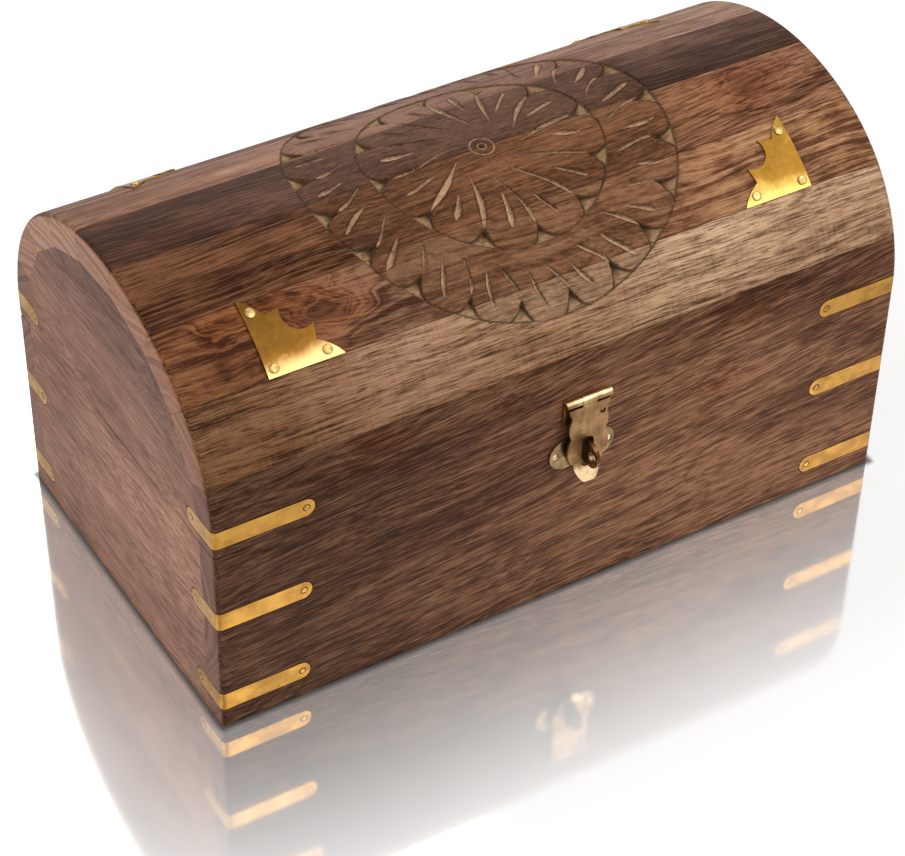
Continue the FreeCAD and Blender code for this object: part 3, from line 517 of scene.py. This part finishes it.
arch = {"spring": 82.0, "haunchAngle": 60.0, "staveThick": 11.0, "railArc": 20.0, "endRound": 2.0,
        "staveWidths": (27.0, 26.5, 28.0, 26.0, 24.5, 24.0, 26.0)}
archRise = boxTall - arch["spring"]
haunchTurn = math.radians(arch["haunchAngle"])
archSpread = (boxFront - archRise) / (math.sin(haunchTurn) + math.cos(haunchTurn) - 1)
haunchRadius = boxFront - archSpread * math.cos(haunchTurn)
crownRadius = archRise + archSpread * math.sin(haunchTurn)
haunchOut = boxFront - haunchRadius
crownCentre = arch["spring"] + archRise - crownRadius
haunchArc = haunchRadius * haunchTurn
crownArc = crownRadius * (math.pi - 2 * haunchTurn)
archLength = 2 * haunchArc + crownArc
staveFit = (archLength - 2 * arch["railArc"]) / sum(arch["staveWidths"])
seams = [arch["railArc"]]
for width in arch["staveWidths"]:
    seams.append(seams[-1] + width * staveFit)


def archPoint(along, inset):
    # Y and Z of points at distances along the arch from the front spring, a depth under its face
    front, crown = along <= haunchArc, along < haunchArc + crownArc
    angle = np.where(front, along / haunchRadius, np.where(
        crown, haunchTurn + (along - haunchArc) / crownRadius,
        math.pi - (archLength - along) / haunchRadius))
    radius = np.where(~front & crown, crownRadius, haunchRadius) - inset
    out = np.where(front, -haunchOut, np.where(crown, 0.0, haunchOut))
    up = np.where(~front & crown, crownCentre, arch["spring"])
    return out - radius * np.cos(angle), up + radius * np.sin(angle)


# Carved flower: two rings of petals, chip-cut notches between them and gouged strokes.
# Its centre is given along X and along the arch.

carving = {
    "centre": (2.0, 101.4), "seed": 11,
    "rings": (
        {"petals": 12, "turn": 1.7, "outer": 42.5, "notch": 7.4, "pit": 2.4,
         "divider": {"from": (9.5, 15.0), "to": (35.0, 36.8), "lean": (14.0, 24.0),
                     "curl": 3.0, "half": 0.84, "stray": 0.4},
         "middle": {"from": (20.5, 25.0), "to": (35.0, 37.2), "lean": (-2.0, 5.0),
                    "curl": 1.2, "half": 0.92, "stray": 1.0}},
        {"petals": 21, "turn": -87.3, "outer": 67.3, "notch": 8.6, "pit": 2.4,
         "divider": {"from": (43.8, 48.0), "to": (58.6, 60.4), "lean": (6.0, 9.5),
                     "curl": 1.7, "half": 0.72, "stray": 0.4},
         "middle": {"from": (48.5, 51.5), "to": (61.5, 65.5), "lean": (3.5, 6.0),
                    "curl": 1.0, "half": 0.95, "stray": 1.0}},
    ),
    "hub": {"radii": (4.2, 1.5), "half": 0.42, "depth": 0.35, "fresh": 0.8},
    "notch": {"from": 0.40, "power": 2.0, "wallSlope": 2.6, "rimLip": 0.35, "rimSlope": 0.32,
              "unlike": 0.12, "unlikeRate": 7.3, "open": 0.05, "deepAt": 0.3, "freshFrom": 0.04,
              "freshRun": 0.12},
    "rim": {"past": 0.15, "sink": 0.42, "run": 2.6, "step": 0.35, "unlike": 0.35, "unlikeRate": 4.1,
            "rubbed": 0.5},
    "line": {"half": 0.42, "depth": 0.24, "past": -1, "dark": 0.45, "darkNotch": 0.55, "least": 0.4,
             "middle": 0.5, "varied": 0.25, "waves": 5},
    "stroke": {"depth": 0.75, "entry": 0.45, "exit": 0.22, "blunt": 0.6, "thinnest": 0.001,
               "wander": 0.18, "wanderRate": 6, "ripple": 0.12, "rippleRate": 8, "chatter": 0.06,
               "chatterRate": 31, "rim": 0.7, "rimAt": 1.3, "rimRun": 0.6, "clearedAt": 0.2,
               "cleared": 0.05, "fresh": 0.9, "freshAt": 0.35, "widths": (0.7, 1.25),
               "wobbles": (0, 6.28), "brights": (0.7, 1.0)},
    # dark marks of the carving: stain over the petals, dark seams, painted shade with stain in the notches,
    # painted shade in the outline's groove and on walls that face away from the light, and a painted shadow
    # past each rim on its right side
    "stainAndShade": {"wall": 0.9, "wallRun": 0.75, "rimWall": 0.9, "rimRun": 0.7, "fade": 1.5, "floor": 0.8,
              "floorFrom": 0.9, "paintedShadow": 0.6, "paintedShadowRun": 2.2, "paintedShadowSide": 0.3, "paintedShadowPetal": 0.35,
              "paintedShadowNotch": 0.65, "wash": 0.10, "washEdge": 0.6, "washRun": 1.5,
              "lightFrom": (0.75, 0.55), "fullAt": 1.1, "probe": 0.2, "seam": 0.8},
}


def strokeList(plan):
    # each stroke: radii, angles, curl, half width and a wobble of its own
    draw = random.Random(plan["seed"])
    look = plan["stroke"]
    strokes = []
    for ring in plan["rings"]:
        step = 360 / ring["petals"]
        for i in range(ring["petals"]):
            for kind, offset in (("divider", 0.0), ("middle", 0.5)):
                plain = ring[kind]
                start, end = draw.uniform(*plain["from"]), draw.uniform(*plain["to"])
                aim = ring["turn"] + step * (i + offset) + draw.uniform(-1.0, 1.0) * plain["stray"]
                lean = draw.uniform(*plain["lean"])
                strokes.append({
                    "start": start, "end": end, "to": math.radians(aim), "lean": math.radians(lean),
                    "curl": plain["curl"], "half": plain["half"] * draw.uniform(*look["widths"]),
                    "wobble": draw.uniform(*look["wobbles"]), "bright": draw.uniform(*look["brights"]),
                })
    return strokes


def unit(values):
    return np.clip(values, 0, 1)


def keepMost(cut, **layers):
    for layer, values in layers.items():
        cut[layer] = np.maximum(cut[layer], values)


def cutPetals(cut, ring, radius, angle, plan):
    # one ring of petals, added to the layers of the cut
    notch, rim, line, stainAndShade = plan["notch"], plan["rim"], plan["line"], plan["stainAndShade"]
    step = 2 * math.pi / ring["petals"]
    count = (angle - math.radians(ring["turn"])) / step
    swing = np.abs(2 * np.mod(count, 1.0) - 1)    # 1 at a notch, 0 in the middle of a petal
    unlike = 1 + notch["unlike"] * np.sin(notch["unlikeRate"] * np.round(count))
    petalEnd = ring["outer"] + rim["unlike"] * np.sin(rim["unlikeRate"] * np.floor(count))

    # how far a point is past the petals' edge, square to it, and inside the ring's rim
    reach = unit((swing - notch["from"]) / (1 - notch["from"]))
    size = ring["notch"] * unlike
    edge = petalEnd - size * reach ** notch["power"]
    fall = size * notch["power"] * reach ** (notch["power"] - 1) / (1 - notch["from"])
    steep = fall * 2 / (step * np.maximum(radius, 1.0))
    off = (radius - edge) / np.sqrt(1 + steep ** 2)
    toRim = ring["outer"] + rim["past"] - radius
    inside = (off > 0) & (toRim > 0)

    atRim = np.minimum(toRim * notch["wallSlope"], notch["rimLip"] + toRim * notch["rimSlope"])
    walls = np.minimum(off * notch["wallSlope"], atRim)
    pit = np.where(inside, np.minimum(walls, ring["pit"] * unlike), 0)
    onPetal = np.minimum(off, 0)
    sink = rim["sink"] * np.where(off <= 0, np.exp(onPetal / rim["run"]), unit(1 - off / rim["step"]))
    outline = unit(1 - np.abs(off) / line["half"]) * (toRim > line["past"])
    keepMost(cut, depth=np.maximum(pit, sink + line["depth"] * outline), deep=unit(pit / notch["deepAt"]),
             fresh=unit((pit - notch["freshFrom"]) / notch["freshRun"]), rubbed=unit(rim["rubbed"] - off))

    # painted shade with stain on the walls and floors of the notches, darkest in their deepest parts and
    # along their outer rims
    wall = stainAndShade["rimWall"] * unit(stainAndShade["fade"] - toRim / stainAndShade["rimRun"])
    wall = np.maximum(unit(stainAndShade["fade"] - off / stainAndShade["wallRun"]), wall)
    wall = np.maximum(stainAndShade["wall"] * wall, stainAndShade["floor"] * unit(pit - stainAndShade["floorFrom"]))
    keepMost(cut, dark=np.where(inside & (pit > notch["open"]), wall, 0))

    # painted shadow past the rim on its right side, heaviest by the notches; painted shade in the outline's
    # groove; and a stain over the petals, heavier near their edges
    past = np.maximum(radius - ring["outer"], 0)
    paintedShadow = stainAndShade["paintedShadowPetal"] + stainAndShade["paintedShadowNotch"] * swing ** 2
    side = unit(np.cos(angle - stainAndShade["paintedShadowSide"]))
    paintedShadow = side * paintedShadow * np.exp(-past / stainAndShade["paintedShadowRun"]) * (past > 0)
    # painted shade in the outline's groove: darker on the right side and at the notches, with a wave round
    # the ring
    waves = line["varied"] * np.sin(line["waves"] * angle + ring["petals"])
    outlineShade = line["middle"] + line["varied"] * np.cos(angle) + waves
    grooveShade = (line["dark"] + line["darkNotch"] * swing) * (line["least"] + outlineShade) * outline
    wash = np.where(off <= 0, 1 + stainAndShade["washEdge"] * np.exp(onPetal / stainAndShade["washRun"]), 0)
    for dark in (stainAndShade["paintedShadow"] * paintedShadow, grooveShade, stainAndShade["wash"] * wash):
        keepMost(cut, dark=dark)


def cutStroke(cut, stroke, radius, angle, look):
    # one gouged stroke, with painted shade along both its sides, and the stain and painted shade cleared
    # from its floor
    run = (radius - stroke["start"]) / (stroke["end"] - stroke["start"])
    on = (run > 0) & (run < 1)
    held = unit(run)
    wobble = stroke["wobble"]
    path = stroke["to"] - stroke["lean"] * (1 - held) ** stroke["curl"]
    aside = radius * (np.mod(angle - path + math.pi, 2 * math.pi) - math.pi)
    aside = np.abs(aside + look["wander"] * np.sin(look["wanderRate"] * held + wobble))
    taper = unit(held / look["entry"]) ** look["blunt"] * unit((1 - held) / look["exit"]) ** look["blunt"]
    uneven = look["ripple"] * np.sin(look["rippleRate"] * held + wobble)
    uneven = uneven + look["chatter"] * np.sin(look["chatterRate"] * held - 2 * wobble)
    share = aside / np.maximum(stroke["half"] * taper * (1 + uneven), look["thinnest"])
    gouge = np.where(on, taper * unit(1 - share ** 2), 0)
    besideShade = np.where(on, taper * unit(1 - np.abs(share - look["rimAt"]) / look["rimRun"]), 0)
    cleared = np.minimum(cut["dark"], look["cleared"])
    cut["dark"] = np.where(gouge > look["clearedAt"], cleared, cut["dark"])
    keepMost(cut, depth=look["depth"] * gouge, dark=look["rim"] * besideShade,
             fresh=stroke["bright"] * (look["fresh"] + uneven / 3) * unit(gouge / look["freshAt"]))


def carve(x, along, plan, strokes):
    # how deep the wood is cut, and where it is freshly cut, dark, deep or rubbed
    acrossX, acrossArch = x - plan["centre"][0], along - plan["centre"][1]
    radius, angle = np.hypot(acrossX, acrossArch), np.arctan2(acrossArch, acrossX)
    cut = {layer: np.zeros_like(radius) for layer in ("depth", "fresh", "dark", "deep", "rubbed")}
    for ring in plan["rings"]:
        cutPetals(cut, ring, radius, angle, plan)
    hub = plan["hub"]
    for middle in hub["radii"]:
        groove = unit(1 - (np.abs(radius - middle) / hub["half"]) ** 2)
        keepMost(cut, depth=hub["depth"] * groove, fresh=hub["fresh"] * groove)
    for stroke in strokes:
        cutStroke(cut, stroke, radius, angle, plan["stroke"])
    return cut


def carveWithPaintedShade(x, along, plan, strokes):
    # painted shade on the walls that face front and left, away from light from the right and back
    stainAndShade = plan["stainAndShade"]
    cut = carve(x, along, plan, strokes)
    steepX = (carve(x + stainAndShade["probe"], along, plan, strokes)["depth"] - cut["depth"]) / stainAndShade["probe"]
    steepArch = (carve(x, along + stainAndShade["probe"], plan, strokes)["depth"] - cut["depth"]) / stainAndShade["probe"]
    lit = stainAndShade["lightFrom"][0] * steepX + stainAndShade["lightFrom"][1] * steepArch
    keepMost(cut, dark=stainAndShade["wall"] * unit(-lit / stainAndShade["fullAt"]))
    return cut


# Staves with the carving in them: a fine grid rolled onto the arch, with walls down to its flat back

staveGrid = {"pitch": 0.28, "carvedFrom": -69.0, "carvedTo": 74.0, "plainColumns": 26, "roundColumns": 6,
             "seamDepth": 0.14, "seamReach": 0.9, "sharp": 50}
staveSlots = ("wood_pale", "wood_red", "wood_brown", "wood_chocolate", "wood_brown", "wood_red")


def columnPlaces(count, grid):
    # close columns under the carving, a few at the rounded ends, the rest wide apart
    turn = np.linspace(0, math.pi / 2, grid["roundColumns"])
    roundRun = boxHalf - arch["endRound"] * (1 - np.cos(turn))
    plain = grid["plainColumns"] - len(roundRun)
    left = np.linspace(-roundRun[-1], grid["carvedFrom"], plain + 2)[1:-1]
    right = np.linspace(grid["carvedTo"], roundRun[-1], plain + 2)[1:-1]
    close = np.linspace(grid["carvedFrom"], grid["carvedTo"], count - 2 * grid["plainColumns"])
    return np.concatenate([-roundRun, left, close, right, roundRun[::-1]])


def staveBlock(name, columns, rows):
    # a unit block: a grid on top, walls and one face below
    bm = bmesh.new()
    bmesh.ops.create_grid(bm, x_segments=columns, y_segments=rows, size=0.5)
    rim = [edge for edge in bm.edges if edge.is_boundary]
    walls = bmesh.ops.extrude_edge_only(bm, edges=rim)["geom"]
    lowered = [item for item in walls if isinstance(item, bmesh.types.BMVert)]
    bmesh.ops.translate(bm, verts=lowered, vec=(0, 0, -1))
    bmesh.ops.contextual_create(bm, geom=[item for item in walls if isinstance(item, bmesh.types.BMEdge)])
    bmesh.ops.recalc_face_normals(bm, faces=bm.faces)
    return meshFrom(bm, name)


def carvedStave(index, strokes):
    nodeName = f"lid_stave_{index + 1}"
    grid = staveGrid
    first, last = seams[index], seams[index + 1]
    columns = round((grid["carvedTo"] - grid["carvedFrom"]) / grid["pitch"]) + 2 * grid["plainColumns"]
    mesh = staveBlock(nodeName, columns, round((last - first) / grid["pitch"]))
    flat = np.empty(len(mesh.vertices) * 3, np.float32)
    mesh.vertices.foreach_get("co", flat)
    flat = flat.reshape(-1, 3).astype(float)
    x = np.interp(flat[:, 0], np.linspace(-0.5, 0.5, columns + 1), columnPlaces(columns + 1, grid))
    share = flat[:, 1] + 0.5
    along = first + share * (last - first)
    top = flat[:, 2] > -0.5

    cut = carveWithPaintedShade(x, along, carving, strokes)
    into = np.clip(np.abs(x) - (boxHalf - arch["endRound"]), 0, arch["endRound"])
    rounded = arch["endRound"] - np.sqrt(np.maximum(arch["endRound"] ** 2 - into ** 2, 0))
    seam = unit(1 - np.minimum(along - first, last - along) / (grid["seamReach"] * grid["pitch"]))
    keepMost(cut, dark=carving["stainAndShade"]["seam"] * seam)
    y, z = archPoint(along, cut["depth"] + rounded + grid["seamDepth"] * seam)
    backY, backZ = archPoint(np.array([first, last]), arch["staveThick"])
    y = np.where(top, y, backY[0] + share * (backY[1] - backY[0]))
    z = np.where(top, z, backZ[0] + share * (backZ[1] - backZ[0]))
    mesh.vertices.foreach_set("co", (np.stack([x, y, z], axis=1) * mm).astype(np.float32).ravel())
    tones = np.stack([cut[layer] for layer in ("fresh", "dark", "deep", "rubbed")], axis=1) * top[:, None]
    attribute = mesh.attributes.new("cut", "FLOAT_COLOR", "POINT")
    attribute.data.foreach_set("color", tones.astype(np.float32).ravel())
    mesh.update()
    mesh.shade_smooth()
    mesh.set_sharp_from_angle(angle=math.radians(grid["sharp"]))
    mesh.materials.append(finishes[f"staveWood{index + 1}"])

    stave = bpy.data.objects.new(f"carvedStave{index + 1}", mesh)
    scene.collection.objects.link(stave)
    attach(stave, "lid")
    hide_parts(nodeName)
    return stave


strokes = strokeList(carving)
for index in range(len(staveSlots)):
    stave = carvedStave(index, strokes)
    print("stave", index + 1, len(stave.data.polygons), "faces")


# Brass nails, turned from a small profile and set where the frame has them

nailShapes = {
    "strapNail": {"radius": 1.05, "dome": 0.18, "sink": 0.9, "shank": 5.5},
    "bracketNail": {"radius": 1.70, "dome": 0.30, "sink": 0.45, "shank": 5.5},
    "stapleNail": {"radius": 1.28, "dome": 0.45, "sink": 0.6, "shank": 5.5},
}
nailGroups = (
    ("baseStrapNails", "base_strap_nails", "strapNail", "strapNailBrass", "base"),
    ("lidStrapNails", "lid_strap_nails", "strapNail", "strapNailBrass", "lid"),
    ("lidBracketNails", "lid_bracket_nails", "bracketNail", "nailBrass", "lid"),
    ("stapleNails", "staple_nails", "stapleNail", "stapleNailBrass", "base"),
    # the hasp nails wear the dark eye finish: painted shade, for where they show through the hole in the
    # hasp's leaf
    ("haspNails", "hasp_nails", "stapleNail", "eyeBrass", "lid"),
)
nailLook = {"dome": ((0, 0), (0.55, 0.16), (0.85, 0.55), (1, 1)), "shankShare": 0.65, "steps": 24,
            "sharp": 40, "boxMiddle": 70, "merge": 0.001, "endSlack": 0.01}


def nailIslands(nodeName):
    # the points of each nail in a frame node
    bm = bmesh.new()
    bm.from_mesh(nodes[nodeName].data)
    bmesh.ops.remove_doubles(bm, verts=bm.verts, dist=nailLook["merge"] * mm)
    islands, seen = [], set()
    for vert in bm.verts:
        if vert in seen:
            continue
        seen.add(vert)
        island, waiting = [], [vert]
        while waiting:
            here = waiting.pop()
            island.append(here.co[:])
            for edge in here.link_edges:
                other = edge.other_vert(here)
                if other not in seen:
                    seen.add(other)
                    waiting.append(other)
        islands.append(np.array(island))
    bm.free()
    return islands


def nailSpot(points):
    # the outer end of a nail, and the way it points
    middle = (points.min(0) + points.max(0)) / 2
    axis = np.linalg.eigh(np.cov((points - points.mean(0)).T))[1][:, 2]
    if axis @ (middle - np.array([0, 0, nailLook["boxMiddle"] * mm])) < 0:
        axis = -axis
    reach = (points @ axis).max()
    return points[points @ axis > reach - nailLook["endSlack"] * mm].mean(0), axis


def nailMesh(name, shape, finish, spots):
    radius, dome, thin = shape["radius"], shape["dome"], nailLook["shankShare"] * shape["radius"]
    under, tip = -dome - shape["sink"], -dome - shape["shank"]
    profile = [(out * radius, -down * dome) for out, down in nailLook["dome"]]
    profile += [(radius, under), (thin, under), (thin, tip), (0, tip)]
    bm = bmesh.new()
    for place, axis in spots:
        before = set(bm.verts)
        verts = [bm.verts.new((out * mm, 0, up * mm)) for out, up in profile]
        edges = [bm.edges.new(pair) for pair in zip(verts, verts[1:])]
        bmesh.ops.spin(bm, geom=verts + edges, cent=(0, 0, 0), axis=(0, 0, 1), angle=2 * math.pi,
                       steps=nailLook["steps"], use_merge=True)
        made = [vert for vert in bm.verts if vert not in before]
        turn = Vector((0, 0, 1)).rotation_difference(Vector(axis)).to_matrix().to_4x4()
        bmesh.ops.transform(bm, matrix=Matrix.Translation(Vector(place)) @ turn, verts=made)
    bmesh.ops.remove_doubles(bm, verts=bm.verts, dist=nailLook["merge"] * mm)
    bmesh.ops.recalc_face_normals(bm, faces=bm.faces)
    mesh = meshFrom(bm, name)
    mesh.shade_smooth()
    mesh.set_sharp_from_angle(angle=math.radians(nailLook["sharp"]))
    mesh.materials.append(finishes[finish])
    return mesh


for pieceName, nodeName, shapeName, finish, body in nailGroups:
    spots = [nailSpot(points) for points in nailIslands(nodeName)]
    nails = bpy.data.objects.new(pieceName, nailMesh(pieceName, nailShapes[shapeName], finish, spots))
    scene.collection.objects.link(nails)
    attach(nails, body)
    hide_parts(nodeName)
    print("nails:", pieceName, len(spots))


# Pale floor and soft studio light. The floor's size and the lamps' places, sizes and aim are in metres.

stage = {
    "floorSize": 5.0, "floorDrop": 0.3, "floorTone": (0.93, 0.93, 0.93), "unevenness": 0.99, "cloud": 0.002,
    "mirror": 0.75, "mirrorRun": 110.0, "polish": 0.07, "shade": 0.1, "shadeRun": 3.0,
    "lift": 0.2, "ambient": 0.36, "aim": (0, 0, 0.06),
}
lamps = (
    {"name": "keyLamp", "place": (0.75, -1.05, 1.35), "size": 1.8, "power": 20.0},
    {"name": "leftLamp", "place": (-1.5, -0.1, 0.9), "size": 1.2, "power": 9.0},
    {"name": "backLamp", "place": (0.1, 1.3, 1.3), "size": 1.2, "power": 8.0},
)


def floorMaterial():
    shader = Shader("paleFloor")
    place = shader.place()
    cloud = shader.noise(place, stage["cloud"], detail=1)
    colour = shader.mix(cloud, shaded(stage["floorTone"], stage["unevenness"]), stage["floorTone"])

    # polished close to the box and plain further off, with a painted contact shadow: a dark line where the
    # box stands
    footprint = (boxHalf, boxFront, 0)
    outside = shader.vector("SUBTRACT", shader.vector("ABSOLUTE", place), footprint)
    beyond = shader.vector("LENGTH", shader.vector("MAXIMUM", outside, (0, 0, 0)))
    mirror = shader.spread(beyond, 0.0, stage["mirrorRun"], stage["mirror"], 0.0)
    shade = shader.spread(beyond, 0.0, stage["shadeRun"], stage["shade"], 1.0)
    grey = shader.add("ShaderNodeCombineColor", {0: shade, 1: shade, 2: shade}).outputs[0]
    colour = shader.tint(colour, grey)

    # paler to the camera only, so that no more light falls on the box
    seen = shader.add("ShaderNodeLightPath").outputs["Is Camera Ray"]
    plain = shader.maths("MULTIPLY", shader.maths("SUBTRACT", 1.0, mirror), stage["lift"])
    lift = shader.maths("MULTIPLY", seen, plain)
    return shader.finish(Base_Color=colour, Roughness=stage["polish"], Metallic=mirror,
                         Emission_Color=(1, 1, 1, 1), Emission_Strength=lift)


def makeFloor():
    bm = bmesh.new()
    bmesh.ops.create_grid(bm, x_segments=1, y_segments=1, size=stage["floorSize"])
    bmesh.ops.translate(bm, verts=bm.verts, vec=(0, 0, -stage["floorDrop"] * mm))
    mesh = meshFrom(bm, "floor")
    mesh.materials.append(floorMaterial())
    floor = bpy.data.objects.new("floor", mesh)
    scene.collection.objects.link(floor)


def makeLamps():
    for lamp in lamps:
        light = bpy.data.lights.new(lamp["name"], "AREA")
        light.size = lamp["size"]
        light.energy = lamp["power"]
        thing = bpy.data.objects.new(lamp["name"], light)
        thing.location = lamp["place"]
        thing.rotation_euler = (Vector(stage["aim"]) - thing.location).to_track_quat("-Z", "Y").to_euler()
        scene.collection.objects.link(thing)


def makeWorld():
    # white where the camera and reflections look, softer where it lights the box
    world = bpy.data.worlds.new("paleRoom")
    scene.world = world
    world.use_nodes = True
    tree = world.node_tree
    tree.nodes.clear()
    path = tree.nodes.new("ShaderNodeLightPath")
    seen = path.outputs["Is Camera Ray"]
    for other in ("Is Glossy Ray", "Is Transmission Ray"):
        either = tree.nodes.new("ShaderNodeMath")
        either.operation = "MAXIMUM"
        tree.links.new(seen, either.inputs[0])
        tree.links.new(path.outputs[other], either.inputs[1])
        seen = either.outputs[0]
    soft, white = tree.nodes.new("ShaderNodeBackground"), tree.nodes.new("ShaderNodeBackground")
    soft.inputs["Color"].default_value = white.inputs["Color"].default_value = (1, 1, 1, 1)
    soft.inputs["Strength"].default_value = stage["ambient"]
    mixed, out = tree.nodes.new("ShaderNodeMixShader"), tree.nodes.new("ShaderNodeOutputWorld")
    tree.links.new(seen, mixed.inputs[0])
    tree.links.new(soft.outputs[0], mixed.inputs[1])
    tree.links.new(white.outputs[0], mixed.inputs[2])
    tree.links.new(mixed.outputs[0], out.inputs["Surface"])


makeFloor()
makeLamps()
makeWorld()
print("stage set")
